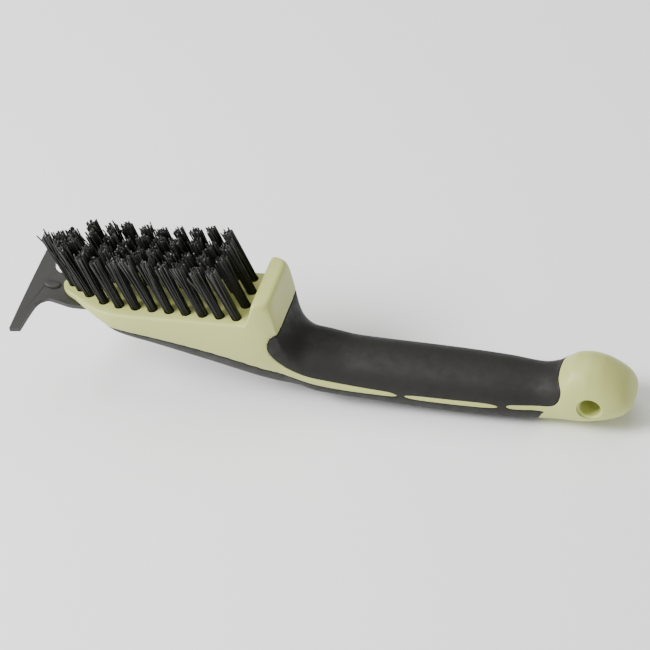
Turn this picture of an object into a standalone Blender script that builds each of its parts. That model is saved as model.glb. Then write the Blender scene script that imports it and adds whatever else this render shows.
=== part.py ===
"""Grill cleaning brush: a one-piece offset handle with a tufted head, a soft grip and a nose scraper.

Run with: blender --background --python part.py
Units are metres, +Z up. +X runs from the scraper to the end knob and the brush is symmetric about Y = 0.
The origin lies under the middle of the brush, on the surface that the back of the handle rests on.
"""

import math

import bmesh
import bpy
import numpy as np
from mathutils import Matrix, Vector

MM = 0.001
GAP = 0.3 * MM

# Overall size. X is measured from the middle of the brush, depths down from the bristle face.
HALF_LENGTH = 145 * MM
FACE_Z = 55 * MM
RUBBER = 2.4 * MM
CORE_INSET = RUBBER + GAP

# Loft of the handle, in millimetres along X: ends of the handle and of its core, spacing of the sections,
# and the closer sections behind the guard.
HANDLE_SPAN = (-128, 145)
CORE_SPAN = (-122, 122)
SECTION_STEP = 6.0
SECTION_STEP_MIN = 0.95
BEHIND_GUARD = (-19, -5, 1.5)
SECTION_POINTS = 24
SECTION_REACH_MIN = 0.3
ROLLING_STEPS = 17

# Tufts: two outer rows and two inner rows that lean towards the scraper, closing to a point at the nose.
TUFT_BASE_R = 2.1 * MM
TUFT_TIP_R = 2.7 * MM
TUFT_LENGTH = 29 * MM
TUFT_LEAN = math.radians(15)
NOSE_LEAN = math.radians(20)
TUFT_PITCH = 8.35 * MM
TUFT_SIDES = 10
HOLE_R = TUFT_BASE_R + 0.42 * MM
HOLE_DEPTH = 4.6 * MM
NOSE_HOLE_DEPTH = 3.2 * MM
OUTER_ROW_X = -37.8 * MM
OUTER_ROW_COUNT = 10
OUTER_ROW_Y = [(-113, 6.4), (-104.6, 10.4), (-96, 12.1), (-80, 12.6), (-54, 13.2), (-37, 13.5)]
INNER_ROW_X = -35.9 * MM
INNER_ROW_COUNT = 9
INNER_ROW_Y = 4.7 * MM
MIDDLE_TUFT_X = -111.2 * MM
NOSE_PAIR_X = -118.2 * MM
NOSE_PAIR_Y = 3.0 * MM
NOSE_TUFT_X = -123 * MM

# Scraper: a flat fishtail plate. Its tang runs into the nose and is locked by a post moulded in the slot.
BLADE_T = 2.2 * MM
BLADE_TOP_DEPTH = 0.8 * MM
BLADE_FALL = math.radians(8.5)
POST_X = -109 * MM
POST_R = 2.2 * MM
POST_DEPTH = 14 * MM
BOSS_X = -134.5 * MM
BOSS_SIZE = (4.2 * MM, 2.6 * MM, 0.9 * MM)
BOSS_TOP_SCALE = 0.8
BOSS_SIDES = 20
BLADE_OUTLINE = [(-145, 0), (-144.9, 16), (-144.6, 32.9), (-140, 31.6), (-139.1, 22), (-138.2, 15),
                 (-136.6, 11.2), (-133.4, 9), (-128, 9.7), (-123, 10.4), (-116, 9.6), (-109, 7.6),
                 (-104, 5.6), (-103, 4.6)]

# Hanging hole through the knob.
HANG_X = 126.6 * MM
HANG_DEPTH = 37.3 * MM
HANG_R = 5 * MM
HANG_SIDES = 24
POST_SIDES = 16

# Side view and plan of the handle in millimetres: (x, depth), (x, half width) and (x, exponent).
TOP = [(-128, 0), (-32.9, 0), (-31.7, -1.4), (-29, -8.4), (-27.8, -11.5), (-26.4, -12.4), (-22, -12.3),
       (-20.2, -11.6), (-19.3, -9.6), (-19, -5.5), (-18.8, 0), (-18.4, 5.5), (-16.4, 12), (-12.6, 16.2),
       (-6, 19.3), (2, 22), (10, 23.8), (20, 24.3), (40, 25.1), (60, 26.1), (80, 27.5), (100, 29.5),
       (107, 28.2), (113, 24.4), (119, 21), (124, 20.5), (130, 21.9), (135, 24.8), (139, 28), (142, 31.3),
       (144, 35), (145, 38.4)]
BOTTOM = [(-128, 4), (-124, 6.4), (-118, 8.8), (-112, 12.6), (-106, 18), (-100, 22.8), (-92, 26.2),
          (-84, 29), (-76, 32.2), (-60, 38.2), (-44, 43.6), (-34, 46.6), (-20, 49.6), (-10, 50.4),
          (0, 50.7), (10, 51.2), (20, 52.1), (40, 53.8), (62, 54.9), (70, 55.4), (86, 55.4), (101, 54.4),
          (113, 53.6), (121, 52.8), (128, 51.2), (135, 49.2), (139, 47.7), (142, 45.9),
          (144, 43.4), (145, 39.6)]
HALF_WIDTH = [(-128, 0.9), (-126.8, 3.6), (-124.5, 5.9), (-120.5, 8.2), (-113.4, 12.9), (-107.2, 16.3),
              (-98.9, 18.5), (-88.7, 19), (-78, 18.9), (-54, 18.7), (-34, 18.8), (-26, 18.5),
              (-23.4, 18.2), (-21.6, 17.4), (-20.2, 16.2), (-19, 15.2), (-16.6, 14.9), (-12, 15), (0, 15),
              (20, 14.9), (60, 15), (85, 14.6), (101, 13.5), (108, 14), (117, 15.5), (125, 15.8),
              (132, 15.2), (137, 14), (141, 12), (143.4, 9.2), (144.6, 5.6), (145, 1.4)]
WIDEST = [(-128, 2), (-100, 4), (-36, 4), (-26, 5), (-24, 6), (-21, 10), (-18.5, 19), (-13.5, 28), (-8, 33.5),
          (4, 37), (20, 38.4), (60, 40.2), (80, 41.2), (100, 41.8), (115, 38.6), (145, 38.6)]
POWER_TOP = [(-128, 7), (-36, 7), (-30, 12), (-24, 12), (-21, 10), (-19, 6), (-17.4, 3), (-12, 2.2),
             (30, 2.1), (145, 2.1)]
POWER_BOTTOM = [(-128, 1.4), (-112, 1.5), (-98, 1.9), (-60, 1.9), (-34, 2), (0, 2.1), (145, 2.1)]
FACE_CLIP = 0.12 * MM

# Side view of the soft grip in millimetres: (x, depth). The windows let the hard handle show as a thin line.
GRIP_EDGE = [(-8, 5.5), (-18.6, 7), (-20.8, 7.9), (-22.4, 9.4), (-23.6, 11.6), (-24.4, 14.6), (-24.3, 17.9),
             (-22.9, 22.2), (-20.2, 26.8), (-16, 30.4), (-11.5, 32.6), (-6.8, 33.8), (-2, 34.5), (7.6, 35.8),
             (20, 37.4), (32.5, 38.4), (35.5, 41.2), (20, 40.9), (7, 40), (-2.8, 38.8), (-12.5, 37),
             (-22, 34.4), (-35.5, 28.6), (-58.4, 21),
             (-82, 14.4), (-98, 11.2), (-112, 9.4), (-112, 65), (96, 65), (99.6, 51), (102.4, 45),
             (105.3, 42.4), (88, 43), (85.6, 40), (98, 40), (108.6, 39.2), (112.4, 34.4), (113.2, 30.4),
             (112.1, 28.3), (110.6, 26.6), (110.2, 18)]
GRIP_WINDOW = [(36.8, 39.1), (60, 39.5), (81, 39.9), (83.6, 42.9), (60, 42.6), (39.4, 41.8)]
ZONE_HALF_WIDTH = 30 * MM
WINDOW_HALF_WIDTH = 40 * MM
MITER_LIMIT = 0.5

COLOURS = {
    "body": (0.60, 0.62, 0.40), "grip": (0.035, 0.035, 0.030), "scraper": (0.06, 0.06, 0.055),
    "tuft": (0.012, 0.012, 0.012),
}
ROUGHNESS = {"body": 0.45, "grip": 0.7, "scraper": 0.5, "tuft": 0.4}
SHARP_ANGLE = math.radians(35)


def curve(table, x):
    """Value at x of a smooth monotone curve through a table of points, in the table's own units."""
    xs, ys = np.array(table, dtype=float).T
    step = np.diff(xs)
    slope = np.diff(ys) / step
    tangent = np.zeros_like(ys)
    same = slope[:-1] * slope[1:] > 0
    tangent[1:-1][same] = 2 * slope[:-1][same] * slope[1:][same] / (slope[:-1] + slope[1:])[same]
    tangent[0], tangent[-1] = slope[0], slope[-1]
    x = np.clip(x, xs[0], xs[-1])
    i = np.clip(np.searchsorted(xs, x, side="right") - 1, 0, len(step) - 1)
    s = (x - xs[i]) / step[i]
    rise = ys[i + 1] * s * s * (3 - 2 * s) + ys[i] * (1 - s) ** 2 * (1 + 2 * s)
    return rise + step[i] * (tangent[i] * s * (1 - s) ** 2 - tangent[i + 1] * s * s * (1 - s))


def profile(x, inset=0.0):
    """Top depth, bottom depth and half width at x, each moved inwards by a rolling circle of radius inset."""
    reach = np.linspace(-inset, inset, ROLLING_STEPS) if inset else np.zeros(1)
    near = (x + reach) / MM
    cap = np.sqrt(np.maximum(inset ** 2 - reach ** 2, 0)) / MM
    top = (curve(TOP, near) + cap).max()
    bottom = (curve(BOTTOM, near) - cap).min()
    half = (curve(HALF_WIDTH, near) - cap).min()
    return top, bottom, half


def section(x, inset=0.0):
    """Closed outline of the handle at x: two half superellipses that meet at the widest depth."""
    mm = x / MM
    angle = 2 * math.pi * (np.arange(SECTION_POINTS) + 0.5) / SECTION_POINTS
    top, bottom, half = profile(x, inset)
    middle = np.clip(curve(WIDEST, mm), top + SECTION_REACH_MIN, bottom - SECTION_REACH_MIN)
    cos, sin = np.cos(angle), np.sin(angle)
    power = np.where(sin > 0, curve(POWER_TOP, mm), curve(POWER_BOTTOM, mm))
    reach = np.where(sin > 0, middle - top, bottom - middle)
    y = half * np.sign(cos) * np.abs(cos) ** (2 / power)
    z = (reach * np.sign(sin) * np.abs(sin) ** (2 / power) - middle) * MM + FACE_Z
    if top == 0:
        z = np.minimum(z, FACE_Z - FACE_CLIP)
    return np.stack([np.full(SECTION_POINTS, x), y * MM, np.maximum(z, inset)], axis=1)


def stations(first, last):
    """Places for the loft's sections: table points between two ends, filled in where they are far apart."""
    marks = {first, last, *np.arange(*BEHIND_GUARD).tolist()}
    for table in (TOP, BOTTOM, HALF_WIDTH):
        marks.update(x for x, value in table if first < x < last)
    marks = sorted(marks)
    kept = [marks[0]]
    for mark in marks[1:]:
        count = max(1, math.ceil((mark - kept[-1]) / SECTION_STEP))
        if mark - kept[-1] >= SECTION_STEP_MIN or mark == last:
            kept.extend(np.linspace(kept[-1], mark, count + 1)[1:])
    return [x * MM for x in kept]


def material(name, slot):
    """Principled material in the sub-part's colour."""
    made = bpy.data.materials.new(name)
    made.use_nodes = True
    shader = made.node_tree.nodes["Principled BSDF"]
    shader.inputs["Base Color"].default_value = (*COLOURS[slot], 1)
    shader.inputs["Roughness"].default_value = ROUGHNESS[slot]
    shader.inputs["Metallic"].default_value = 0
    made.diffuse_color = (*COLOURS[slot], 1)
    return made


def add_object(name, verts, faces, slot=None):
    """Object from points and faces; without a slot it is a hidden cutter."""
    mesh = bpy.data.meshes.new(name)
    mesh.from_pydata([tuple(v) for v in verts], [], [tuple(f) for f in faces])
    work = bmesh.new()
    work.from_mesh(mesh)
    bmesh.ops.recalc_face_normals(work, faces=work.faces)
    work.to_mesh(mesh)
    work.free()
    made = bpy.data.objects.new(name, mesh)
    bpy.context.scene.collection.objects.link(made)
    if slot:
        mesh.materials.append(material(name, slot))
    else:
        made.hide_render = True
        made.display_type = "WIRE"
    return made


def loft(name, first, last, inset=0.0, slot=None):
    """Closed solid through the handle's sections between two places along X."""
    rings = [section(x, inset) for x in stations(first, last)]
    count = SECTION_POINTS
    faces = [tuple(range(count))]
    for ring in range(len(rings) - 1):
        for i in range(count):
            j = (i + 1) % count
            faces.append((ring * count + i, ring * count + j, (ring + 1) * count + j, (ring + 1) * count + i))
    faces.append(tuple(range((len(rings) - 1) * count, len(rings) * count)))
    return add_object(name, np.concatenate(rings), faces, slot)


def grown(outline, distance):
    """Outline moved outwards by a distance, for an outline that runs anticlockwise in (x, depth)."""
    points = np.array(outline, dtype=float)
    turned = 0.5 * np.sum(points[:, 0] * np.roll(points[:, 1], -1) - np.roll(points[:, 0], -1) * points[:, 1])
    before = points - np.roll(points, 1, axis=0)
    after = np.roll(points, -1, axis=0) - points
    normals = []
    for edge in (before, after):
        unit = edge / np.linalg.norm(edge, axis=1)[:, None]
        normals.append(np.stack([unit[:, 1], -unit[:, 0]], axis=1) * np.sign(turned))
    miter = normals[0] + normals[1]
    miter /= np.maximum((miter * normals[0]).sum(axis=1), MITER_LIMIT)[:, None]
    return points + miter * distance


def prism(name, outline, half_width):
    """Hidden side-view prism across the handle from an outline in millimetres of x and depth."""
    count = len(outline)
    verts = [(x * MM, side * half_width, FACE_Z - depth * MM) for side in (-1, 1) for x, depth in outline]
    faces = [tuple(range(count)), tuple(range(count, 2 * count))]
    for i in range(count):
        j = (i + 1) % count
        faces.append((i, j, count + j, count + i))
    return add_object(name, verts, faces)


def boolean(target, operation, *others):
    """Applies booleans on the target one after another and removes the other objects."""
    for other in others:
        step = target.modifiers.new(operation.title(), "BOOLEAN")
        step.operation = operation
        step.solver = "EXACT"
        step.object = other
        graph = bpy.context.evaluated_depsgraph_get()
        mesh = bpy.data.meshes.new_from_object(target.evaluated_get(graph))
        target.modifiers.clear()
        old = target.data
        target.data = mesh
        bpy.data.meshes.remove(old)
        bpy.data.objects.remove(other)
    return target


def tube(name, start, axis, length, radius, end_radius, sides, slot=None):
    """Straight round solid from a start point along an axis."""
    turn = Vector(axis).to_track_quat("Z", "Y").to_matrix()
    verts = []
    for along, size in ((0, radius), (length, end_radius)):
        for i in range(sides):
            angle = 2 * math.pi * (i + 0.5) / sides
            point = Vector((size * math.cos(angle), size * math.sin(angle), along))
            verts.append(Vector(start) + turn @ point)
    faces = [tuple(range(sides)), tuple(range(sides, 2 * sides))]
    faces += [(i, (i + 1) % sides, sides + (i + 1) % sides, sides + i) for i in range(sides)]
    return add_object(name, verts, faces, slot)


def tuft_places():
    """Name, base point, lean and hole depth of every tuft."""
    places = []
    for side, label in ((-1, "near"), (1, "far")):
        for i in range(OUTER_ROW_COUNT):
            x = OUTER_ROW_X - i * TUFT_PITCH
            y = side * curve(OUTER_ROW_Y, x / MM) * MM
            places.append((f"tuft_outer_{label}_{i + 1:02d}", x, y, TUFT_LEAN, HOLE_DEPTH))
        for i in range(INNER_ROW_COUNT):
            x = INNER_ROW_X - i * TUFT_PITCH
            places.append((f"tuft_inner_{label}_{i + 1:02d}", x, side * INNER_ROW_Y, TUFT_LEAN, HOLE_DEPTH))
        places.append((f"tuft_nose_{label}", NOSE_PAIR_X, side * NOSE_PAIR_Y, NOSE_LEAN, NOSE_HOLE_DEPTH))
    places.append(("tuft_middle", MIDDLE_TUFT_X, 0, TUFT_LEAN, HOLE_DEPTH))
    places.append(("tuft_tip", NOSE_TUFT_X, 0, NOSE_LEAN, NOSE_HOLE_DEPTH))
    return places


def tuft_axis(lean):
    """Direction in which a tuft points."""
    return Vector((-math.sin(lean), 0, math.cos(lean)))


def make_tufts():
    """One closed bundle for each tuft, standing in its own blind hole and flaring to its tip."""
    for name, x, y, lean, depth in tuft_places():
        axis = tuft_axis(lean)
        start = Vector((x, y, FACE_Z - FACE_CLIP)) - axis * (depth - GAP)
        tube(name, start, axis, TUFT_LENGTH + depth - GAP, TUFT_BASE_R, TUFT_TIP_R, TUFT_SIDES, "tuft")


def tuft_holes():
    """One hidden cutter that holds every tuft's blind hole."""
    verts, faces = [], []
    for name, x, y, lean, depth in tuft_places():
        axis = tuft_axis(lean)
        start = Vector((x, y, FACE_Z)) - axis * depth
        hole = tube(name + "_hole", start, axis, 2 * depth, HOLE_R, HOLE_R, TUFT_SIDES)
        first = len(verts)
        verts += [v.co.copy() for v in hole.data.vertices]
        faces += [tuple(first + i for i in face.vertices) for face in hole.data.polygons]
        bpy.data.objects.remove(hole)
    return add_object("tuft_holes", verts, faces)


def plate_height(x):
    """Height of the scraper plate's top at x; the plate falls evenly from its edge to its tang."""
    return FACE_Z - BLADE_TOP_DEPTH - (x + HALF_LENGTH) * math.tan(BLADE_FALL)


def plate(name, margin=0.0, slot=None):
    """Fishtail plate from its half outline, mirrored across Y; the margin makes it the slot's cutter."""
    half = BLADE_OUTLINE[1:]
    if margin:
        half = grown(BLADE_OUTLINE + [(BLADE_OUTLINE[-1][0], 0)], margin / MM)[1:-1]
    half = [(x * MM, abs(y) * MM) for x, y in half]
    tip = (BLADE_OUTLINE[0][0] - margin / MM) * MM
    outline = [(tip, 0)] + [(x, -y) for x, y in half] + [(x, y) for x, y in reversed(half)]
    count = len(outline)
    verts = [(x, y, plate_height(x) + margin) for x, y in outline]
    verts += [(x, y, plate_height(x) - BLADE_T - margin) for x, y in outline]
    faces = [tuple(range(count)), tuple(range(count, 2 * count))]
    faces += [(i, (i + 1) % count, count + (i + 1) % count, count + i) for i in range(count)]
    return add_object(name, verts, faces, slot)


def post(name, radius):
    """Upright post through the tang."""
    return tube(name, (POST_X, 0, FACE_Z - POST_DEPTH), (0, 0, 1), POST_DEPTH, radius, radius, POST_SIDES)


def make_scraper():
    """Scraper with the hole for its locking post and a low oval boss on the neck."""
    made = plate("scraper", slot="scraper")
    boolean(made, "DIFFERENCE", post("tang_hole", POST_R + GAP))
    boss = tube("boss", (0, 0, 0), (0, 0, 1), 1, 1, BOSS_TOP_SCALE, BOSS_SIDES)
    wide, narrow, rise = BOSS_SIZE
    tilt = Matrix.Rotation(BLADE_FALL, 4, "Y")
    place = Matrix.Translation((BOSS_X, 0, plate_height(BOSS_X) - BLADE_T / 2)) @ tilt
    boss.data.transform(place @ Matrix.Diagonal((wide, narrow, rise + BLADE_T / 2, 1)))
    boolean(made, "UNION", boss)
    return made


def make_grip():
    """Soft overmould: the handle's outside within the grip outline, hollowed to the core, with windows."""
    made = loft("grip", *HANDLE_SPAN, slot="grip")
    boolean(made, "INTERSECT", prism("grip_zone", GRIP_EDGE, ZONE_HALF_WIDTH))
    window = prism("window", GRIP_WINDOW, ZONE_HALF_WIDTH)
    boolean(made, "DIFFERENCE", window, loft("grip_core", *CORE_SPAN, RUBBER))
    return made


def make_body():
    """Hard one-piece handle: full section where it shows and a smaller core under the soft grip."""
    made = loft("body", *HANDLE_SPAN, slot="body")
    zone = prism("body_zone", grown(GRIP_EDGE, GAP / MM), ZONE_HALF_WIDTH)
    boolean(zone, "DIFFERENCE", prism("body_window", grown(GRIP_WINDOW, -GAP / MM), WINDOW_HALF_WIDTH))
    boolean(made, "DIFFERENCE", zone)
    boolean(made, "UNION", loft("body_core", *CORE_SPAN, CORE_INSET))
    slot = plate("slot", GAP)
    boolean(slot, "DIFFERENCE", post("slot_post", POST_R))
    start = (HANG_X, -ZONE_HALF_WIDTH, FACE_Z - HANG_DEPTH)
    hang = tube("hang", start, (0, 1, 0), 2 * ZONE_HALF_WIDTH, HANG_R, HANG_R, HANG_SIDES)
    boolean(made, "DIFFERENCE", slot, tuft_holes(), hang)
    return made


def main():
    """Builds every sub-part of the brush."""
    for old in list(bpy.data.objects):
        bpy.data.objects.remove(old)
    make_body()
    make_grip()
    make_scraper()
    make_tufts()
    for made in bpy.data.objects:
        made.data.shade_smooth()
        made.data.set_sharp_from_angle(angle=SHARP_ANGLE)


if __name__ == "__main__":
    main()
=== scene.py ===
"""Looks of the grill cleaning brush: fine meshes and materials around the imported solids."""

import math

import bmesh
import bpy
import numpy as np
from bpy.props import FloatProperty, FloatVectorProperty, IntProperty, PointerProperty
from mathutils import Matrix, Vector


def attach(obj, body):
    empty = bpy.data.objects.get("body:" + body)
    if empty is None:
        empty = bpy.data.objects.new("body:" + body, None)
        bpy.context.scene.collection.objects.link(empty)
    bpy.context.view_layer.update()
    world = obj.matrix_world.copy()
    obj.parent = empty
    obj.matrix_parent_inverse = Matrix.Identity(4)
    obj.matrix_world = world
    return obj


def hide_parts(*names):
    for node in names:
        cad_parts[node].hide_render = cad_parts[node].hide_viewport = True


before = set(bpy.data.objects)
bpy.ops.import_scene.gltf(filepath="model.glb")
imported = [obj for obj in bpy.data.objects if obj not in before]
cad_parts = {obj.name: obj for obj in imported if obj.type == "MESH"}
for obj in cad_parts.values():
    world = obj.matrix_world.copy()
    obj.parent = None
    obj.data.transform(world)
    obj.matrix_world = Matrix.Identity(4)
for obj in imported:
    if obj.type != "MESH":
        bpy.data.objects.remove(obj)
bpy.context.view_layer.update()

bl_info = {
    "name": "Grill brush maker",
    "version": (1, 0, 0),
    "blender": (4, 5, 0),
    "location": "View3D > Sidebar > Grill Brush",
    "description": "Builds a tufted grill brush with a soft grip and a nose scraper",
    "category": "Add Mesh",
}

MM = 0.001
ROOT = "root"

# Fineness of the meshes: sections along the handle and the grip, points around a section, and sides.
HANDLE_ROWS, GRIP_ROWS, AROUND = 430, 420, 220
HOLE_SIDES, HANG_SIDES, HANG_STEPS = 20, 64, 9
EDGE_POINTS = 140
BOSS_SIDES, BOSS_STEPS = 40, 7
FILAMENT_SIDES, FILAMENT_RINGS = 6, 6

# Ends of the handle in millimetres, where its sections crowd: (x, reach, extra density), and how much
# they crowd with the slope of the top line, up to a limit.
HANDLE_START, HANDLE_END = -128, 145
CROWDED = [(145, 5, 2), (-128, 5, 2.2), (127, 9, 0.8)]
SLOPE_CROWD, SLOPE_LIMIT = 2.4, 3

# Where the points around a section crowd: angle below the widest line, reach and extra density.
SIDE_DROP, SIDE_REACH, SIDE_CROWD = 0.16, 0.3, 1.6

# Least distance in millimetres from the widest line to the top and bottom, and how far the bristle face
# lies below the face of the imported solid.
WIDEST_GUARD = 0.3
FACE_SINK = 0.12

# Side view and plan of the handle in millimetres: (x, depth below the bristle face), (x, half width)
# and (x, exponent of the section's upper and lower half).
TOP = [(-128, 0), (-32.9, 0), (-31.7, -1.4), (-29, -8.4), (-27.8, -11.5), (-26.4, -12.4), (-22, -12.3),
       (-20.2, -11.6), (-19.3, -9.6), (-19, -5.5), (-18.8, 0), (-18.4, 5.5), (-16.4, 12), (-12.6, 16.2),
       (-6, 19.3), (2, 22), (10, 23.8), (20, 24.3), (40, 25.1), (60, 26.1), (80, 27.5), (100, 29.5),
       (107, 28.2), (113, 24.4), (119, 21), (124, 20.5), (130, 21.9), (135, 24.8), (139, 28), (142, 31.3),
       (144, 35), (145, 38.4)]
BOTTOM = [(-128, 4), (-124, 6.4), (-118, 8.8), (-112, 12.6), (-106, 18), (-100, 22.8), (-92, 26.2),
          (-84, 29), (-76, 32.2), (-60, 38.2), (-44, 43.6), (-34, 46.6), (-20, 49.6), (-10, 50.4),
          (0, 50.7), (10, 51.2), (20, 52.1), (40, 53.8), (62, 54.9), (70, 55), (86, 55), (101, 54.4),
          (113, 53.6), (121, 52.8), (128, 51.2), (135, 49.2), (139, 47.7), (142, 45.9),
          (144, 43.4), (145, 39.6)]
HALF_WIDTH = [(-128, 0.9), (-126.8, 3.6), (-124.5, 5.9), (-120.5, 8.2), (-113.4, 12.9), (-107.2, 16.3),
              (-98.9, 18.5), (-88.7, 19), (-78, 18.9), (-54, 18.7), (-34, 18.8), (-27, 18.3),
              (-23.6, 17.6), (-21, 16.8), (-18.5, 16), (-15, 15.3), (-10, 15), (0, 15), (20, 14.9),
              (60, 15), (85, 14.6), (101, 13.5), (108, 14), (117, 15.5), (125, 15.8), (132, 15.2),
              (137, 14), (141, 12), (143.4, 9.2), (144.6, 5.6), (145, 1.4)]
WIDEST = [(-128, 2), (-100, 4), (-36, 4), (-26, 5), (-24, 6), (-21, 10), (-18.5, 19), (-13.5, 28), (-8, 33.5),
          (4, 37), (20, 38.4), (60, 40.2), (80, 41.2), (100, 41.8), (115, 38.6), (145, 38.6)]
POWER_TOP = [(-128, 7), (-36, 7), (-30, 12), (-24, 12), (-21, 10), (-19, 6), (-17.4, 3), (-12, 2.2),
             (30, 2.1), (145, 2.1)]
POWER_BOTTOM = [(-128, 1.4), (-112, 1.5), (-98, 1.9), (-60, 1.9), (-34, 2), (0, 2.1), (145, 2.1)]

# Side view of the soft grip and of the closed window in it, in millimetres: (x, depth).
GRIP_EDGE = [(-8, 5.5), (-18.6, 7), (-20.8, 7.9), (-22.4, 9.4), (-23.6, 11.6), (-24.4, 14.6), (-24.3, 17.9),
             (-22.9, 22.2), (-20.2, 26.8), (-16, 30.4), (-11.5, 32.6), (-6.8, 33.8), (-2, 34.5), (7.6, 35.8),
             (20, 37.4), (32.5, 38.4), (35.5, 41.2), (20, 40.9), (7, 40), (-2.8, 38.8), (-12.5, 37),
             (-22, 34.4), (-35.5, 28.6), (-58.4, 21),
             (-82, 14.4), (-98, 11.2), (-112, 9.4), (-112, 65), (96, 65), (99.6, 51), (102.4, 45),
             (105.3, 42.4), (88, 43), (85.6, 40), (98, 40), (108.6, 39.2), (112.4, 34.4), (113.2, 30.4),
             (112.1, 28.3), (110.6, 26.6), (110.2, 18)]
GRIP_WINDOW = [(36.8, 39.1), (60, 39.5), (81, 39.9), (83.6, 42.9), (60, 42.6), (39.4, 41.8)]

# Seam between grip and handle in millimetres: width over which the handle drops under the grip, overlap of
# the grip's cells past the seam, and gap between the grip's inside and the dropped handle.
DROP_WIDTH = 0.45
GRIP_OVERLAP = 0.5
GRIP_GAP = 0.1

# Eased fold behind the guard in millimetres: middle and reach along x, depth where the easing starts to
# grow and depth over which it grows, with its share of a step, its least part and its rounds.
FOLD_X, FOLD_REACH = -14.5, 5
FOLD_TOP, FOLD_FADE = 1, 9
FOLD_SHARE, FOLD_LEAST, FOLD_ROUNDS = 0.6, 0.12, 160

# Thumb hollows in millimetres: middle, reach along x, y and z, and how deep they sink.
THUMB_X, THUMB_Y, THUMB_DEPTH = -11.5, 13.5, 20
THUMB_REACH = np.array([5.5, 9, 6.5]) * MM
THUMB_SINK = 1.5

# Tuft holes in millimetres: floor and top of the cutter from the face, and radius.
HOLE_FLOOR, HOLE_TOP, HOLE_RADIUS = -3.2, 3, 2.45

# Hanging hole in millimetres: distance from the middle plane to its mouth, and to the cutter's end.
HANG_EDGE, HANG_END = 14.55, 24

# Half outline of the scraper in millimetres, from its front edge to the end of its tang: (x, y).
BLADE_OUTLINE = [(-145, 0), (-144.9, 16), (-144.6, 32.9), (-140, 31.6), (-139.1, 22), (-138.2, 15),
                 (-136.6, 11.2), (-133.4, 9), (-128, 9.7), (-123, 10.4), (-116, 9.6), (-109, 7.6),
                 (-104, 5.6), (-103, 4.6)]
BLADE_CORNERS = 3
BLADE_FRONT = -145
EDGE_BEVEL = 0.45
EDGE_ANGLE = 50

# Oval boss on the scraper's neck in millimetres: middle, half length, half width and rise, and the share
# by which its top is smaller than its foot.
BOSS_X, BOSS_LONG, BOSS_WIDE, BOSS_RISE = -134.5, 4.2, 2.6, 1.2
BOSS_TAPER = 0.22

# Places of the tufts on the bristle face in millimetres: rows as first x, count and y, and the tufts of
# the nose as x, y and how much looser they stand than the others.
OUTER_ROW_Y = [(-113, 6.4), (-104.6, 10.4), (-96, 12.1), (-80, 12.6), (-54, 13.2), (-37, 13.5)]
OUTER_START, OUTER_COUNT = -37.8, 10
INNER_START, INNER_COUNT, INNER_Y = -35.9, 9, 4.7
NOSE_PAIR_X, NOSE_PAIR_Y, NOSE_PAIR_LOOSE = -118.2, 3, 1.25
MIDDLE_X, MIDDLE_LOOSE = -111.2, 1.3
TIP_X, TIP_LOOSE = -123, 1.5

# Filaments in metres: seed, turn from one foot to the next, share of the tuft's radius that the feet fill,
# spreads of the feet, of a whole tuft's tilt and of one filament's tip, share and spread of the strays,
# spread of the length, extra length of strays as mean and spread, sunk length, range of thickness as a
# share, and greatest slant of a cut end.
TUFT_SEED = 11
SUNFLOWER_TURN = 2.399963
FULL_TURN = 6.28
FOOT_FILL = 0.93
FOOT_SPREAD, TILT_SPREAD, TIP_SPREAD = 0.00005, 0.0005, 0.00042
STRAY_SHARE, STRAY_SPREAD = 0.12, 3.2
LENGTH_SPREAD = 0.0006
STRAY_LENGTH = (0.0006, 0.0009)
SUNK_LENGTH = 0.0028
THICKNESS_RANGE = (0.9, 1.12)
GREATEST_SLANT = 0.9

# Stage in metres and watts: soft lights as name, place, size and power, and the camera's aim and shift.
LIGHTS = [("key", (-0.9, -0.5, 1.1), 0.7, 38), ("top", (0.0, 0.5, 1.5), 1.2, 10),
          ("front", (0.2, -1.3, 0.7), 1.0, 3)]
LIGHT_TARGET = (0, 0, 0.03)
WORLD_STRENGTH = 0.40
FLOOR_SIZE, FLOOR_ROUGHNESS = 8, 0.9
CAMERA_AIM = (0, 0, 0.055)
CAMERA_RIGHT, CAMERA_DOWN = 0.00125, 0.0094
CAMERA_RANGE = 20


# ---------------------------------------------------------------- settings

def length(name, description, default, soft_max=0.1):
    """Float property for a length in metres."""
    return FloatProperty(name=name, description=description, default=default, min=0.0, soft_max=soft_max,
                         unit="LENGTH", subtype="DISTANCE", precision=5)


def share(name, description, default):
    """Float property from 0 to 1."""
    return FloatProperty(name=name, description=description, default=default, min=0.0, max=1.0,
                         subtype="FACTOR")


def colour(name, description, default):
    """Linear colour property."""
    return FloatVectorProperty(name=name, description=description, default=default, size=3, min=0.0,
                               max=1.0, subtype="COLOR")


def angle(name, description, degrees):
    """Float property for an angle."""
    return FloatProperty(name=name, description=description, default=math.radians(degrees),
                         unit="ROTATION", subtype="ANGLE")


class HandleSettings(bpy.types.PropertyGroup):
    """Sizes and colour of the hard handle."""
    face_height: length("Face height", "Height of the bristle face above the rest surface", 0.055)
    skin: length("Skin", "Depth that the hard handle drops to under the soft grip", 0.0013)
    seam_depth: length("Seam depth", "Depth of the groove where grip and handle meet", 0.00026)
    seam_width: length("Seam width", "Half the width of that groove", 0.0005)
    hang_x: length("Hole place", "Distance of the hanging hole from the middle of the brush", 0.1266, 0.2)
    hang_depth: length("Hole depth", "Depth of the hanging hole's axis below the bristle face", 0.0373)
    hang_radius: length("Hole radius", "Radius of the hanging hole", 0.005)
    hang_round: length("Hole rounding", "Radius of the hanging hole's rounded mouth", 0.0011)
    tint: colour("Plastic colour", "Colour of the hard plastic", (0.50, 0.53, 0.17))
    roughness: share("Plastic roughness", "Roughness of the hard plastic", 0.42)


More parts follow.
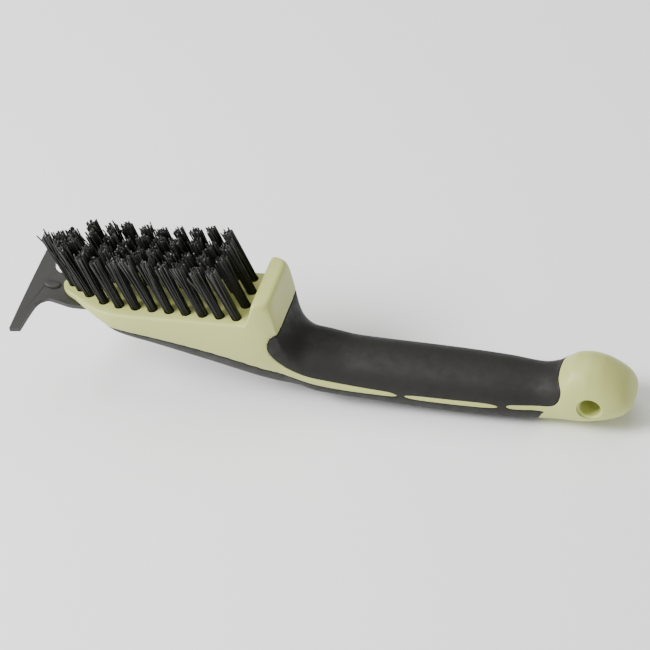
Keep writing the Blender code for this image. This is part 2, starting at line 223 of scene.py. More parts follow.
class GripSettings(bpy.types.PropertyGroup):
    """Colour and surface of the soft grip."""
    tint: colour("Rubber colour", "Colour of the soft grip", (0.0105, 0.0100, 0.0080))
    roughness: share("Rubber roughness", "Roughness of the soft grip", 0.62)


class ScraperSettings(bpy.types.PropertyGroup):
    """Sizes and colour of the scraper."""
    thickness: length("Thickness", "Thickness of the plate", 0.0022)
    top_depth: length("Edge depth", "Depth of the plate's top below the bristle face at its edge", 0.0008)
    fall: angle("Fall", "Angle by which the plate falls from its edge to its tang", 8.5)
    tint: colour("Scraper colour", "Colour of the scraper", (0.030, 0.029, 0.027))
    roughness: share("Scraper roughness", "Roughness of the scraper", 0.5)


class TuftSettings(bpy.types.PropertyGroup):
    """Sizes and colours of the bristle tufts."""
    length: length("Length", "Length of a tuft above the face", 0.029)
    pitch: length("Pitch", "Distance between tufts along a row", 0.00835)
    radius: length("Radius", "Radius of a tuft where it leaves its hole", 0.00225)
    flare: FloatProperty(name="Flare", description="Width of a tuft's tip over its base", default=1.34)
    filament: length("Filament", "Diameter of one filament", 0.00072, 0.002)
    count: IntProperty(name="Filaments", description="Filaments in one tuft", default=32, min=1)
    lean: angle("Lean", "Angle by which the tufts lean towards the scraper", 15)
    nose_lean: angle("Nose lean", "Lean of the tufts at the nose", 15)
    tint: colour("Bristle colour", "Colour of the filaments", (0.008, 0.008, 0.007))
    # Grey of the tips: partly scuffed wear, partly a painted glint of light on the cut ends.
    tip_wear_and_glint_tint: colour("Tip colour", "Colour of the scuffed tips", (0.07, 0.07, 0.066))


class StageSettings(bpy.types.PropertyGroup):
    """Camera and light."""
    distance: length("Distance", "Distance from the camera to the middle of the brush", 1.786, 5)
    azimuth: angle("Azimuth", "Turn of the camera towards the knob", 24)
    elevation: angle("Elevation", "Height of the camera as an angle", 42)
    roll: angle("Roll", "Turn of the camera about its own axis", 11.5)
    focal: FloatProperty(name="Focal length", description="Focal length in millimetres", default=214.5)
    floor_tint: colour("Floor colour", "Colour of the floor", (0.96, 0.96, 0.96))


SETTINGS = {"handle": HandleSettings, "grip": GripSettings, "scraper": ScraperSettings,
            "tufts": TuftSettings, "stage": StageSettings}


class BrushSettings(bpy.types.PropertyGroup):
    """Everything that a user can change about the brush."""
    handle: PointerProperty(type=HandleSettings)
    grip: PointerProperty(type=GripSettings)
    scraper: PointerProperty(type=ScraperSettings)
    tufts: PointerProperty(type=TuftSettings)
    stage: PointerProperty(type=StageSettings)


# ---------------------------------------------------------------- shapes

def smooth(table, x):
    """Value at every x of a monotone cubic through the table: Hermite pieces with harmonic mean slopes."""
    xs, ys = np.array(table, dtype=float).T
    step = np.diff(xs)
    slope = np.diff(ys) / step
    tangent = np.zeros_like(ys)
    same = slope[:-1] * slope[1:] > 0
    tangent[1:-1][same] = 2 * slope[:-1][same] * slope[1:][same] / (slope[:-1] + slope[1:])[same]
    tangent[0], tangent[-1] = slope[0], slope[-1]
    x = np.clip(x, xs[0], xs[-1])
    i = np.clip(np.searchsorted(xs, x, side="right") - 1, 0, len(step) - 1)
    s = (x - xs[i]) / step[i]
    rise = ys[i + 1] * s * s * (3 - 2 * s) + ys[i] * (1 - s) ** 2 * (1 + 2 * s)
    return rise + step[i] * (tangent[i] * s * (1 - s) ** 2 - tangent[i + 1] * s * s * (1 - s))


def spread(density, count):
    """Numbers from 0 to 1 whose spacing is the inverse of a density given on an even grid."""
    total = np.concatenate([[0], np.cumsum(0.5 * (density[1:] + density[:-1]))])
    return np.interp(np.linspace(0, total[-1], count), total, np.linspace(0, 1, len(density)))


def handle_grid(along, around, face_height):
    """Handle surface in metres on a grid of x by angle.

    Each section is two half superellipses that meet at the widest depth: across is the half width times
    cos to the power 2/n, and up is the reach of that half times sin to the power 2/n."""
    even = np.linspace(HANDLE_START, HANDLE_END, 2400)
    slope = np.abs(np.gradient(smooth(TOP, even), even))
    crowd = 1 + SLOPE_CROWD * np.clip(slope, 0, SLOPE_LIMIT)
    for place, reach, extra in CROWDED:
        crowd = crowd + extra * np.exp(-((even - place) / reach) ** 2)
    x = HANDLE_START + (HANDLE_END - HANDLE_START) * spread(crowd, along)
    turn = np.linspace(0, 2 * math.pi, 1441)
    from_right = (turn + math.pi) % (2 * math.pi) - math.pi + SIDE_DROP
    from_left = turn - math.pi - SIDE_DROP
    wide = 1 + SIDE_CROWD * np.exp(-(from_right / SIDE_REACH) ** 2)
    wide += SIDE_CROWD * np.exp(-(from_left / SIDE_REACH) ** 2)
    turn = 2 * math.pi * spread(wide, around + 1)[:-1]
    top, bottom, half = smooth(TOP, x), smooth(BOTTOM, x), smooth(HALF_WIDTH, x)
    middle = np.clip(smooth(WIDEST, x), top + WIDEST_GUARD, bottom - WIDEST_GUARD)
    cos, sin = np.cos(turn)[None], np.sin(turn)[None]
    upper = sin > 0
    power = np.where(upper, smooth(POWER_TOP, x)[:, None], smooth(POWER_BOTTOM, x)[:, None])
    reach = np.where(upper, (middle - top)[:, None], (bottom - middle)[:, None])
    y = half[:, None] * np.sign(cos) * np.abs(cos) ** (2 / power)
    z = reach * np.sign(sin) * np.abs(sin) ** (2 / power) - middle[:, None]
    flat = (top == 0)[:, None]
    z = np.where(flat & (z > -FACE_SINK), -FACE_SINK, z)
    grid = np.stack(np.broadcast_arrays(x[:, None], y, z), axis=2) * MM
    grid[..., 2] = np.maximum(grid[..., 2] + face_height, 0)
    grid = relaxed(grid, face_height)
    return grid - grid_normals(grid) * thumb_hollows(grid, face_height)[..., None]


def relaxed(grid, face_height):
    """Grid with the fold behind the guard eased: every point moves toward the mean of its four neighbours,
    by a bell of its distance along x from the fold that fades out toward the top of the guard."""
    depth = (face_height - grid[..., 2:]) / MM
    ease = FOLD_SHARE * np.exp(-((grid[..., :1] / MM - FOLD_X) / FOLD_REACH) ** 2)
    ease = ease * np.clip((depth - FOLD_TOP) / FOLD_FADE, FOLD_LEAST, 1)
    for _ in range(FOLD_ROUNDS):
        ends = np.concatenate([grid[:1], grid, grid[-1:]])
        mean = (ends[:-2] + ends[2:] + np.roll(grid, 1, axis=1) + np.roll(grid, -1, axis=1)) / 4
        grid = grid + ease * (mean - grid)
    return grid


def thumb_hollows(grid, face_height):
    """Depth of the two thumb hollows behind the guard: a bell of the distance from each one's middle."""
    depth = 0
    for side in (-1, 1):
        middle = np.array([THUMB_X, side * THUMB_Y, -THUMB_DEPTH]) * MM + (0, 0, face_height)
        away = np.linalg.norm((grid - middle) / THUMB_REACH, axis=2)
        depth = depth + THUMB_SINK * MM * np.exp(-0.5 * away ** 2)
    return depth


def grid_normals(grid, soften=6):
    """Unit normals of a grid that closes on itself around its second axis: the cross product of its two
    tangents, then averaged with their neighbours a few times so that offsets stay free of folds."""
    along = np.gradient(grid, axis=0)
    around = np.roll(grid, -1, axis=1) - np.roll(grid, 1, axis=1)
    normal = np.cross(around, along)
    normal = normal / np.maximum(np.linalg.norm(normal, axis=2, keepdims=True), 1e-12)
    for _ in range(soften):
        normal = (normal + np.roll(normal, 1, axis=1) + np.roll(normal, -1, axis=1)) / 3
        padded = np.concatenate([normal[:1], normal, normal[-1:]])
        normal = (padded[:-2] + padded[1:-1] + padded[2:]) / 3
    return normal / np.maximum(np.linalg.norm(normal, axis=2, keepdims=True), 1e-12)


def rounded(outline, rounds=2):
    """Closed outline with its corners cut: each round keeps the quarter points of every side."""
    points = np.array(outline, dtype=float)
    for _ in range(rounds):
        after = np.roll(points, -1, axis=0)
        points = np.stack([0.75 * points + 0.25 * after, 0.25 * points + 0.75 * after], axis=1).reshape(-1, 2)
    return points


def inside_distance(points, outline):
    """Distance from points to a closed outline, positive inside: nearest side, and a crossing count."""
    start, end = outline, np.roll(outline, -1, axis=0)
    best = np.full(len(points), 1e9)
    odd = np.zeros(len(points), dtype=bool)
    for a, b in zip(start, end):
        side = b - a
        t = np.clip(((points - a) @ side) / max(side @ side, 1e-12), 0, 1)
        best = np.minimum(best, np.linalg.norm(points - a - t[:, None] * side, axis=1))
        cross = (points[:, 1] < a[1]) != (points[:, 1] < b[1])
        if a[1] != b[1]:
            odd ^= cross & (points[:, 0] < a[0] + (points[:, 1] - a[1]) * side[0] / side[1])
    return np.where(odd, best, -best)


def grip_distance(grid, face_height):
    """Distance in metres into the grip's side view at each grid point, negative where hard plastic shows."""
    flat = np.stack([grid[..., 0] / MM, (face_height - grid[..., 2]) / MM], axis=2).reshape(-1, 2)
    outer = inside_distance(flat, rounded(GRIP_EDGE))
    window = inside_distance(flat, rounded(GRIP_WINDOW, 3))
    return np.minimum(outer, -window).reshape(grid.shape[:2]) * MM


def seam(distance, settings):
    """Offset of a surface that ends at a seam: level outside the groove, rounded into it, then dropped."""
    lip = np.clip(1 - distance / settings.seam_width, 0, 1) ** 2 * settings.seam_depth
    drop = np.clip(-distance / (DROP_WIDTH * MM), 0, 1) * (settings.skin - settings.seam_depth)
    return -np.where(distance > 0, lip, settings.seam_depth + drop)


def mesh_object(name, verts, faces, material, replaced, smooth_angle):
    """Object from arrays, riding on the brush, standing for CAD nodes and painted with a material."""
    mesh = bpy.data.meshes.new(name)
    mesh.from_pydata(verts, [], faces)
    return finish_object(name, mesh, material, replaced, smooth_angle)


def finish_object(name, mesh, material, replaced, smooth_angle):
    """Object from a mesh, shaded smooth below an angle in degrees, riding on the brush."""
    mesh.materials.clear()
    mesh.materials.append(material)
    mesh.shade_smooth()
    mesh.set_sharp_from_angle(angle=math.radians(smooth_angle))
    made = bpy.data.objects.new(name, mesh)
    bpy.context.scene.collection.objects.link(made)
    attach(made, ROOT)
    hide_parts(*replaced)
    return made


def closed_grid_faces(rows, around):
    """Quads of a tube grid, with one polygon as the cap at each end."""
    row = np.arange(rows - 1)[:, None] * around
    column = np.arange(around)[None]
    after = (column + 1) % around
    quads = np.stack([row + column, row + after, row + around + after, row + around + column], axis=2)
    faces = quads.reshape(-1, 4).tolist()
    faces.append(list(range(around))[::-1])
    faces.append(list(range((rows - 1) * around, rows * around)))
    return faces


def turned(profile, axis_point, sides):
    """Solid turned about a line along Y from a profile of (y, radius): a cutter for a rounded bore."""
    profile = np.array(profile)
    turn = 2 * math.pi * np.arange(sides) / sides
    x = axis_point[0] + profile[:, 1:] * np.cos(turn)[None]
    z = axis_point[2] + profile[:, 1:] * np.sin(turn)[None]
    y = np.broadcast_to(profile[:, :1], x.shape)
    return np.stack([x, y, z], axis=2).reshape(-1, 3)


def faced_out(mesh):
    """Mesh with the normals of its closed shells turned out."""
    work = bmesh.new()
    work.from_mesh(mesh)
    bmesh.ops.recalc_face_normals(work, faces=work.faces)
    work.to_mesh(mesh)
    work.free()
    return mesh


def joined_mesh(parts):
    """One mesh from several lists of points and faces."""
    verts, faces, first = [], [], 0
    for points, polygons in parts:
        verts.append(np.asarray(points))
        faces += [[first + i for i in polygon] for polygon in polygons]
        first += len(points)
    mesh = bpy.data.meshes.new("joined")
    mesh.from_pydata(np.concatenate(verts), [], faces)
    return faced_out(mesh)


def combined(mesh, other, operation):
    """Difference or union of two meshes, by an exact boolean."""
    target = bpy.data.objects.new("target", mesh)
    tool = bpy.data.objects.new("tool", other)
    for item in (target, tool):
        bpy.context.scene.collection.objects.link(item)
    step = target.modifiers.new("Combine", "BOOLEAN")
    step.operation = operation
    step.solver = "EXACT"
    step.object = tool
    graph = bpy.context.evaluated_depsgraph_get()
    result = bpy.data.meshes.new_from_object(target.evaluated_get(graph))
    for item in (target, tool):
        bpy.data.objects.remove(item)
    return result


# ---------------------------------------------------------------- tuft layout

def tuft_places(settings):
    """Name, base x, base y, lean and looseness of every tuft, in metres, with the bases of the CAD nodes."""
    places = []
    for side, label in ((-1, "near"), (1, "far")):
        for i in range(OUTER_COUNT):
            x = OUTER_START * MM - i * settings.pitch
            y = side * float(smooth(OUTER_ROW_Y, x / MM)) * MM
            places.append((f"tuft_outer_{label}_{i + 1:02d}", x, y, settings.lean, 1.0))
        for i in range(INNER_COUNT):
            x = INNER_START * MM - i * settings.pitch
            y = side * INNER_Y * MM
            places.append((f"tuft_inner_{label}_{i + 1:02d}", x, y, settings.lean, 1.0))
        y = side * NOSE_PAIR_Y * MM
        places.append((f"tuft_nose_{label}", NOSE_PAIR_X * MM, y, settings.nose_lean, NOSE_PAIR_LOOSE))
    places.append(("tuft_middle", MIDDLE_X * MM, 0.0, settings.lean, MIDDLE_LOOSE))
    places.append(("tuft_tip", TIP_X * MM, 0.0, settings.nose_lean, TIP_LOOSE))
    return places


def tuft_axis(lean):
    """Unit direction of a tuft."""
    return np.array([-math.sin(lean), 0.0, math.cos(lean)])


def filaments(base, lean, loose, settings, random):
    """Filaments of one tuft: points, quads, height along each and a random tone for each.

    Feet fill a disc in a sunflower pattern. A filament runs along the tuft's axis, spreads by the flare,
    and bends by the square of its height, with a few strays that bend more."""
    count, sides, rings = settings.count, FILAMENT_SIDES, FILAMENT_RINGS
    axis = tuft_axis(lean)
    across = np.array([0.0, 1.0, 0.0])
    ahead = np.cross(across, axis)
    k = np.arange(count) + 0.5
    ring_radius = settings.radius * FOOT_FILL * np.sqrt(k / count)
    turn = k * SUNFLOWER_TURN + random.uniform(0, FULL_TURN)
    foot = np.stack([ring_radius * np.cos(turn), ring_radius * np.sin(turn)], axis=1)
    foot += random.normal(0, FOOT_SPREAD, foot.shape)
    tilt = random.normal(0, TILT_SPREAD, 2) * loose
    wander = random.normal(0, TIP_SPREAD, (count, 2)) * loose
    stray = random.random(count) < STRAY_SHARE
    wander[stray] *= STRAY_SPREAD
    reach = settings.length + random.normal(0, LENGTH_SPREAD, count) + random.normal(0, LENGTH_SPREAD)
    reach += np.where(stray, random.normal(*STRAY_LENGTH, count), 0)
    height = np.linspace(0, 1, rings)
    run = -SUNK_LENGTH + (reach + SUNK_LENGTH)[:, None] * height[None]
    rise = np.clip(run / settings.length, 0, 1.1)[..., None]
    plane = foot[:, None] * (1 + (settings.flare - 1) * rise)
    plane = plane + tilt * rise ** 1.5 + wander[:, None] * rise ** 2
    centre = base + run[..., None] * axis + plane[..., :1] * ahead + plane[..., 1:] * across
    around = 2 * math.pi * np.arange(sides) / sides
    thick = 0.5 * settings.filament * random.uniform(*THICKNESS_RANGE, count)
    rim = np.cos(around)[:, None] * ahead + np.sin(around)[:, None] * across
    points = centre[:, :, None] + thick[:, None, None, None] * rim[None, None]
    slant = np.cos(around[None] - random.uniform(0, FULL_TURN, (count, 1)))
    slant = slant * random.uniform(0, GREATEST_SLANT, (count, 1))
    points[:, -1] += (thick[:, None] * slant)[..., None] * axis
    verts = points.reshape(-1, 3)
    first = (np.arange(count) * rings * sides)[:, None, None]
    row = (np.arange(rings - 1) * sides)[None, :, None]
    column = np.arange(sides)[None, None]
    after = (column + 1) % sides
    quads = np.stack(np.broadcast_arrays(first + row + column, first + row + after,
                                         first + row + sides + after, first + row + sides + column), axis=3)
    caps = first[:, 0] + (rings - 1) * sides + np.arange(sides)[None]
    ends = first[:, 0] + np.arange(sides)[None, ::-1]
    faces = quads.reshape(-1, 4).tolist() + caps.tolist() + ends.tolist()
    along = np.repeat(rise[..., 0].reshape(-1), sides)
    tone = np.repeat(random.random(count), rings * sides)
    return verts, faces, along, tone


# ---------------------------------------------------------------- materials

class Nodes:
    """Short way to write a node tree around one Principled shader."""

    def __init__(self, name, tint, roughness):
        self.material = bpy.data.materials.new(name)
        self.material.use_nodes = True
        self.tree = self.material.node_tree
        self.shader = self.tree.nodes["Principled BSDF"]
        self.shader.inputs["Base Color"].default_value = (*tint, 1)
        self.shader.inputs["Roughness"].default_value = roughness
        self.place = self.tree.nodes.new("ShaderNodeTexCoord").outputs["Object"]

    def node(self, kind, values=None, links=None, **settings):
        """New node with socket values, links into its sockets and plain settings."""
        made = self.tree.nodes.new(kind)
        for key, value in settings.items():
            setattr(made, key, value)
        for key, value in (values or {}).items():
            made.inputs[key].default_value = value
        for key, value in (links or {}).items():
            self.tree.links.new(value, made.inputs[key])
        return made

    def noise(self, scale, detail=3, rough=0.5, place=None):
        """Noise on object coordinates."""
        return self.node("ShaderNodeTexNoise", {"Scale": scale, "Detail": detail, "Roughness": rough},
                         {"Vector": place or self.place}).outputs["Fac"]

    def ramp(self, value, low, high, to_low, to_high):
        """Value mapped from one range to another and held at its ends."""
        return self.node("ShaderNodeMapRange", {"From Min": low, "From Max": high, "To Min": to_low,
                                                "To Max": to_high}, {"Value": value}).outputs["Result"]

    def mix(self, share_value, first, second):
        """Colour mixed from first to second by a value."""
        made = self.node("ShaderNodeMix", data_type="RGBA", links={"Factor": share_value})
        for socket, item in ((made.inputs[6], first), (made.inputs[7], second)):
            if isinstance(item, tuple):
                socket.default_value = (*item, 1)
            else:
                self.tree.links.new(item, socket)
        return made.outputs[2]

    def bump(self, height, strength, distance, normal=None):
        """Bump from a height."""
        links = {"Height": height}
        if normal:
            links["Normal"] = normal
        values = {"Strength": strength, "Distance": distance}
        return self.node("ShaderNodeBump", values, links).outputs["Normal"]

    def product(self, first, second):
        """Product of two values."""
        made = self.node("ShaderNodeMath", operation="MULTIPLY")
        for socket, item in zip(made.inputs, (first, second)):
            self.tree.links.new(item, socket)
        return made.outputs["Value"]

    def uniform(self, **values):
        """Values set on the shader's own sockets by name."""
        for key, value in values.items():
            self.shader.inputs[key.replace("_", " ")].default_value = value

    def out(self, **links):
        """Links values into the shader's sockets by name."""
        for key, value in links.items():
            self.tree.links.new(value, self.shader.inputs[key.replace("_", " ")])
        return self.material


def scaled(tint, factor):
    """Colour times a factor, kept in range."""
    return tuple(min(1.0, channel * factor) for channel in tint)


def plastic_material(settings):
    """Celery green moulded plastic: faint flow marks, a fine spark texture and slightly waxy depth."""
    look = Nodes("celery_plastic", settings.tint, settings.roughness)
    tint = tuple(settings.tint)
    flow = look.node("ShaderNodeMapping", {"Scale": (0.35, 1, 1)}, {"Vector": look.place}).outputs["Vector"]
    cloud = look.noise(38, detail=4, rough=0.55, place=flow)
    base = look.mix(look.ramp(cloud, 0.3, 0.7, 0, 1), scaled(tint, 0.95), scaled(tint, 1.04))
    speck = look.ramp(look.noise(2600, detail=2, rough=0.6), 0.35, 0.7, 0, 1)
    base = look.mix(look.ramp(speck, 0, 1, 0, 0.10), base, scaled(tint, 0.82))
    uneven = look.noise(160, detail=4)
    rough = look.ramp(uneven, 0.3, 0.7, settings.roughness - 0.05, settings.roughness + 0.07)
    fine = look.bump(look.noise(3200, detail=2, rough=0.5), 0.16, 0.00006)
    normal = look.bump(look.noise(60, detail=3), 0.10, 0.0004, fine)
    look.uniform(Subsurface_Weight=0.10, Subsurface_Radius=(0.9, 1.0, 0.45), Subsurface_Scale=0.0016)
    return look.out(Base_Color=base, Roughness=rough, Normal=normal)


def rubber_material(settings):
    """Charcoal rubber: matt pebbled skin, soft sheen and faint pale scuffs."""
    look = Nodes("charcoal_rubber", settings.tint, settings.roughness)
    tint = tuple(settings.tint)
    cloud = look.ramp(look.noise(45, detail=4), 0.3, 0.7, 0, 1)
    base = look.mix(cloud, scaled(tint, 0.88), scaled(tint, 1.12))
    scuff = look.ramp(look.noise(420, detail=5, rough=0.7), 0.58, 0.78, 0, 0.22)
    base = look.mix(scuff, base, scaled(tint, 1.9))
    uneven = look.noise(240, detail=4)
    rough = look.ramp(uneven, 0.3, 0.7, settings.roughness - 0.06, settings.roughness + 0.10)
    pebble = look.node("ShaderNodeTexVoronoi", {"Scale": 1500.0}, {"Vector": look.place}).outputs["Distance"]
    fine = look.bump(pebble, 0.22, 0.00008)
    normal = look.bump(look.noise(900, detail=3, rough=0.6), 0.18, 0.0001, fine)
    look.uniform(Specular_IOR_Level=0.32, Sheen_Weight=0.03, Sheen_Roughness=0.45)
    return look.out(Base_Color=base, Roughness=rough, Normal=normal)


def scraper_material(settings):
    """Dark grey glass-filled plastic: fine grain and scratches along the stroke."""
    look = Nodes("grey_scraper_plastic", settings.tint, settings.roughness)
    tint = tuple(settings.tint)
    grain = look.ramp(look.noise(1700, detail=3, rough=0.6), 0.35, 0.7, 0, 1)
    base = look.mix(grain, scaled(tint, 0.92), scaled(tint, 1.10))
    stroke = look.node("ShaderNodeMapping", {"Scale": (0.06, 1, 1)}, {"Vector": look.place}).outputs["Vector"]
    scratch = look.ramp(look.noise(2300, detail=2, rough=0.5, place=stroke), 0.62, 0.70, 0, 0.35)
    base = look.mix(scratch, base, scaled(tint, 1.6))
    rough = look.ramp(grain, 0, 1, settings.roughness - 0.06, settings.roughness + 0.06)
    normal = look.bump(look.noise(2100, detail=2, rough=0.5), 0.14, 0.00006)
    return look.out(Base_Color=base, Roughness=rough, Normal=normal)


def nylon_material(settings):
    """Black nylon filament: glossy sides, streaks from filament to filament and grey tips, partly scuffed
    wear and partly a painted glint of light on the cut ends.
    """
    look = Nodes("black_nylon", settings.tint, 0.3)
    tint, tip = tuple(settings.tint), tuple(settings.tip_wear_and_glint_tint)
    along = look.node("ShaderNodeAttribute", attribute_name="along").outputs["Fac"]
    tone = look.node("ShaderNodeAttribute", attribute_name="tone").outputs["Fac"]
    base = look.mix(look.ramp(tone, 0, 1, 0, 1), scaled(tint, 0.7), scaled(tint, 2.3))
    # Top fifth of each filament mixed toward the tip grey by a random share: partly scuffed wear, partly a
    # painted glint of light.
    edge = look.ramp(along, 0.80, 1.0, 0, 1)
    edge = look.product(edge, look.ramp(tone, 0, 1, 0.25, 1.0))
    base = look.mix(edge, base, tip)
    rough = look.ramp(tone, 0, 1, 0.34, 0.52)
    look.uniform(Specular_IOR_Level=0.32)
    return look.out(Base_Color=base, Roughness=rough)


# ---------------------------------------------------------------- pieces

def make_handle(settings, tufts):
    """Hard handle: the handle grid, sunk under the grip, cut by the tuft holes and the hanging hole."""
    grid = handle_grid(HANDLE_ROWS, AROUND, settings.face_height)
    shown = -grip_distance(grid, settings.face_height)
    grid = grid + grid_normals(grid) * seam(shown, settings)[..., None]
    mesh = bpy.data.meshes.new("handle")
    mesh.from_pydata(grid.reshape(-1, 3), [], closed_grid_faces(HANDLE_ROWS, AROUND))
    parts = []
    ring = 2 * math.pi * np.arange(HOLE_SIDES) / HOLE_SIDES
    for _, x, y, lean, _ in tuft_places(tufts):
        axis = tuft_axis(lean)
        ahead = np.cross((0, 1, 0), axis)
        disc = np.cos(ring)[:, None] * ahead + np.sin(ring)[:, None] * np.array([0, 1, 0])
        foot = np.array([x, y, settings.face_height])
        levels = [foot + axis * height * MM + disc * HOLE_RADIUS * MM for height in (HOLE_FLOOR, HOLE_TOP)]
        parts.append((np.concatenate(levels), closed_grid_faces(2, HOLE_SIDES)))
    radius, curl = settings.hang_radius, settings.hang_round
    edge = HANG_EDGE * MM
    arc = np.linspace(0, math.pi / 2, HANG_STEPS)
    mouth = [(edge - curl + curl * math.sin(a), radius + curl * (1 - math.cos(a))) for a in arc]
    profile = [(-y, r) for y, r in reversed(mouth)] + mouth
    profile = [(-HANG_END * MM, profile[0][1])] + profile + [(HANG_END * MM, profile[-1][1])]
    centre = (settings.hang_x, 0, settings.face_height - settings.hang_depth)
    parts.append((turned(profile, centre, HANG_SIDES), closed_grid_faces(len(profile), HANG_SIDES)))
    mesh = combined(mesh, joined_mesh(parts), "DIFFERENCE")
    return finish_object("handle", mesh, plastic_material(settings), ["body"], 35)


def make_grip(settings, handle):
    """Soft grip: the part of the handle grid inside the grip's side view, as a closed skin."""
    rows, around = GRIP_ROWS, AROUND
    grid = handle_grid(rows, around, handle.face_height)
    inside = grip_distance(grid, handle.face_height)
    normals = grid_normals(grid)
    outer = grid + normals * seam(inside, handle)[..., None]
    inner = grid - normals * (handle.skin - GRIP_GAP * MM)
    after = np.roll(inside, -1, axis=1)
    cell = np.max([inside[:-1], inside[1:], after[:-1], after[1:]], axis=0) > -GRIP_OVERLAP * MM
    row, column = np.nonzero(cell)
    nxt = (column + 1) % around
    corner = np.stack([row * around + column, row * around + nxt,
                       (row + 1) * around + nxt, (row + 1) * around + column], axis=1)
    shift = rows * around
    edges = np.concatenate([corner[:, [i, (i + 1) % 4]] for i in range(4)])
    key = np.sort(edges, axis=1)
    _, first, times = np.unique(key, axis=0, return_index=True, return_counts=True)
    rim = edges[first[times == 1]]
    walls = np.stack([rim[:, 1], rim[:, 0], rim[:, 0] + shift, rim[:, 1] + shift], axis=1)
    faces = np.concatenate([corner, corner[:, ::-1] + shift, walls])
    used, faces = np.unique(faces, return_inverse=True)
    verts = np.concatenate([outer.reshape(-1, 3), inner.reshape(-1, 3)])[used]
    return mesh_object("grip", verts, faces.reshape(-1, 4).tolist(), rubber_material(settings),
                       ["grip"], 40)


def boss_mesh(height, slope):
    """Low oval boss on the scraper's neck: rings of an ellipse whose size follows a quarter round."""
    turn = 2 * math.pi * np.arange(BOSS_SIDES) / BOSS_SIDES
    lift = np.linspace(0, math.pi / 2, BOSS_STEPS)[:-1]
    size = np.concatenate([[1.0], 1 - BOSS_TAPER * (1 - np.cos(lift))])
    rise = np.concatenate([[-1.0], BOSS_RISE * np.sin(lift)])
    x = BOSS_X + BOSS_LONG * size[:, None] * np.cos(turn)
    y = BOSS_WIDE * size[:, None] * np.sin(turn)
    z = height / MM - (x - BLADE_FRONT) * slope + rise[:, None]
    mesh = bpy.data.meshes.new("boss")
    verts = np.stack([x, y, z], axis=2).reshape(-1, 3) * MM
    mesh.from_pydata(verts, [], closed_grid_faces(len(size), BOSS_SIDES))
    return faced_out(mesh)


def make_scraper(settings, handle):
    """Scraper: the fishtail outline as a sloping plate with its boss, and a soft bevel on its edges."""
    outline = np.array(BLADE_OUTLINE, dtype=float)
    curve = BLADE_OUTLINE[BLADE_CORNERS:]
    fine_x = np.linspace(curve[0][0], curve[-1][0], EDGE_POINTS)
    fine = np.stack([fine_x, smooth(curve, fine_x)], axis=1)
    half = np.concatenate([outline[:BLADE_CORNERS], fine])
    closed = np.concatenate([half, half[::-1] * (1, -1)])
    apart = np.linalg.norm(np.diff(closed, axis=0), axis=1) > 1e-6
    closed = closed[np.concatenate([[True], apart])]
    height = handle.face_height - settings.top_depth
    slope = math.tan(settings.fall)
    top = np.stack([closed[:, 0] * MM, closed[:, 1] * MM,
                    height - (closed[:, 0] - BLADE_FRONT) * MM * slope], axis=1)
    low = top - (0, 0, settings.thickness)
    mesh = bpy.data.meshes.new("scraper")
    mesh.from_pydata(np.concatenate([low, top]), [], closed_grid_faces(2, len(closed)))
    mesh = combined(faced_out(mesh), boss_mesh(height, slope), "UNION")
    made = finish_object("scraper", mesh, scraper_material(settings), ["scraper"], 40)
    bevel = made.modifiers.new("Soft edge", "BEVEL")
    bevel.width = EDGE_BEVEL * MM
    bevel.segments = 3
    bevel.harden_normals = True
    bevel.limit_method = "ANGLE"
    bevel.angle_limit = math.radians(EDGE_ANGLE)
    return made


def make_tufts(settings, handle):
    """Every tuft as its own bunch of filaments."""
    material = nylon_material(settings)
    random = np.random.default_rng(TUFT_SEED)
    for name, x, y, lean, loose in tuft_places(settings):
        base = np.array([x, y, handle.face_height - FACE_SINK * MM])
        verts, faces, along, tone = filaments(base, lean, loose, settings, random)
        made = mesh_object(name.replace("tuft", "bristles"), verts, faces, material, [name], 50)
        for key, values in (("along", along), ("tone", tone)):
            layer = made.data.attributes.new(key, "FLOAT", "POINT")
            layer.data.foreach_set("value", values.astype(np.float32))


def area_light(name, place, size, power):
    """Square soft light that looks at the middle of the brush."""
    data = bpy.data.lights.new(name, "AREA")
    data.size = size
    data.energy = power
    made = bpy.data.objects.new(name, data)
    made.location = place
    aim = Vector(LIGHT_TARGET) - Vector(place)
    made.rotation_euler = aim.to_track_quat("-Z", "Y").to_euler()
    bpy.context.scene.collection.objects.link(made)


def make_stage(settings):
    """Pale floor, soft lights, and the camera."""
    material = bpy.data.materials.new("floor_paper")
    material.use_nodes = True
    shader = material.node_tree.nodes["Principled BSDF"]
    shader.inputs["Base Color"].default_value = (*settings.floor_tint, 1)
    shader.inputs["Roughness"].default_value = FLOOR_ROUGHNESS
    bpy.ops.mesh.primitive_plane_add(size=FLOOR_SIZE)
    floor = bpy.context.active_object
    floor.name = "floor"
    floor.data.materials.append(material)
    world = bpy.data.worlds.new("studio")
    world.use_nodes = True
    glow = world.node_tree.nodes["Background"]
    glow.inputs["Color"].default_value = (1, 1, 1, 1)
    glow.inputs["Strength"].default_value = WORLD_STRENGTH
    bpy.context.scene.world = world
    for light in LIGHTS:
        area_light(*light)
    data = bpy.data.cameras.new("camera")
    data.lens = settings.focal
    data.clip_end = CAMERA_RANGE
    camera = bpy.data.objects.new("camera", data)
    a, e, r = settings.azimuth, settings.elevation, settings.roll
    right = Vector((math.cos(a), math.sin(a), 0))
    up = Vector((-math.sin(a) * math.sin(e), math.cos(a) * math.sin(e), math.cos(e)))
    back = right.cross(up)
    turned_right = right * math.cos(r) - up * math.sin(r)
    turned_up = right * math.sin(r) + up * math.cos(r)
    place = Vector(CAMERA_AIM) + back * settings.distance
    place = place + turned_right * CAMERA_RIGHT - turned_up * CAMERA_DOWN
    camera.matrix_world = Matrix((turned_right, turned_up, back)).transposed().to_4x4()
    camera.location = place
    bpy.context.scene.collection.objects.link(camera)
    bpy.context.scene.camera = camera


# ---------------------------------------------------------------- operators and panel

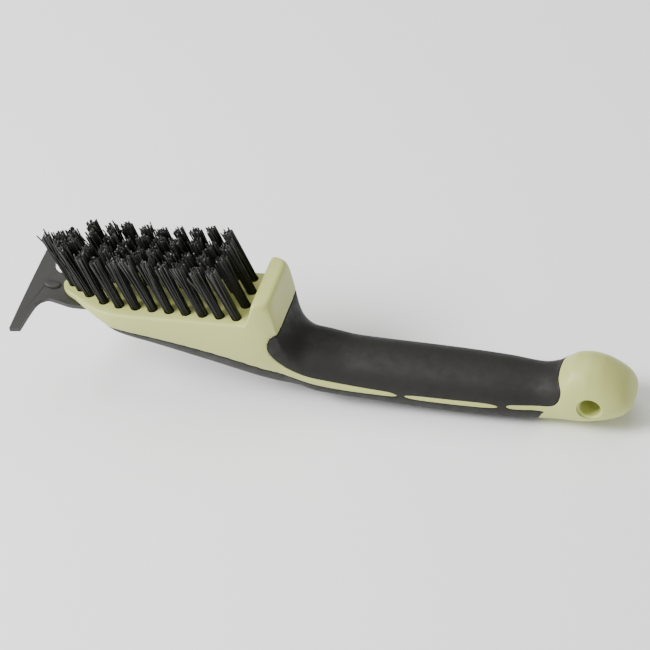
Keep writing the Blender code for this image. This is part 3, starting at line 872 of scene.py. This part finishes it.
class BRUSH_OT_handle(bpy.types.Operator):
    """Build the hard plastic handle"""
    bl_idname = "grill_brush.handle"
    bl_label = "Handle"

    def execute(self, context):
        settings = context.scene.grill_brush
        make_handle(settings.handle, settings.tufts)
        return {"FINISHED"}


class BRUSH_OT_grip(bpy.types.Operator):
    """Build the soft grip"""
    bl_idname = "grill_brush.grip"
    bl_label = "Grip"

    def execute(self, context):
        settings = context.scene.grill_brush
        make_grip(settings.grip, settings.handle)
        return {"FINISHED"}


class BRUSH_OT_scraper(bpy.types.Operator):
    """Build the nose scraper"""
    bl_idname = "grill_brush.scraper"
    bl_label = "Scraper"

    def execute(self, context):
        settings = context.scene.grill_brush
        make_scraper(settings.scraper, settings.handle)
        return {"FINISHED"}


class BRUSH_OT_tufts(bpy.types.Operator):
    """Build the bristle tufts"""
    bl_idname = "grill_brush.tufts"
    bl_label = "Tufts"

    def execute(self, context):
        settings = context.scene.grill_brush
        make_tufts(settings.tufts, settings.handle)
        return {"FINISHED"}


class BRUSH_OT_stage(bpy.types.Operator):
    """Set the floor, the lights and the camera"""
    bl_idname = "grill_brush.stage"
    bl_label = "Stage"

    def execute(self, context):
        make_stage(context.scene.grill_brush.stage)
        return {"FINISHED"}


OPERATORS = (BRUSH_OT_handle, BRUSH_OT_grip, BRUSH_OT_scraper, BRUSH_OT_tufts, BRUSH_OT_stage)


class BRUSH_PT_panel(bpy.types.Panel):
    """Buttons and settings of the grill brush"""
    bl_idname = "BRUSH_PT_panel"
    bl_label = "Grill Brush"
    bl_space_type = "VIEW_3D"
    bl_region_type = "UI"
    bl_category = "Grill Brush"

    def draw(self, context):
        for operator in OPERATORS:
            self.layout.operator(operator.bl_idname)
        for name, group in SETTINGS.items():
            box = self.layout.box()
            box.label(text=name.title())
            for item in group.__annotations__:
                box.prop(getattr(context.scene.grill_brush, name), item)


CLASSES = (*SETTINGS.values(), BrushSettings, *OPERATORS, BRUSH_PT_panel)


def register():
    """Registers the classes and hangs the settings on the scene."""
    for item in CLASSES:
        bpy.utils.register_class(item)
    bpy.types.Scene.grill_brush = PointerProperty(type=BrushSettings)


def unregister():
    """Undoes register."""
    del bpy.types.Scene.grill_brush
    for item in reversed(CLASSES):
        bpy.utils.unregister_class(item)


def main():
    """Builds the brush and its stage."""
    register()
    bpy.ops.grill_brush.stage()
    bpy.ops.grill_brush.handle()
    bpy.ops.grill_brush.grip()
    bpy.ops.grill_brush.scraper()
    bpy.ops.grill_brush.tufts()


if __name__ == "__main__":
    main()
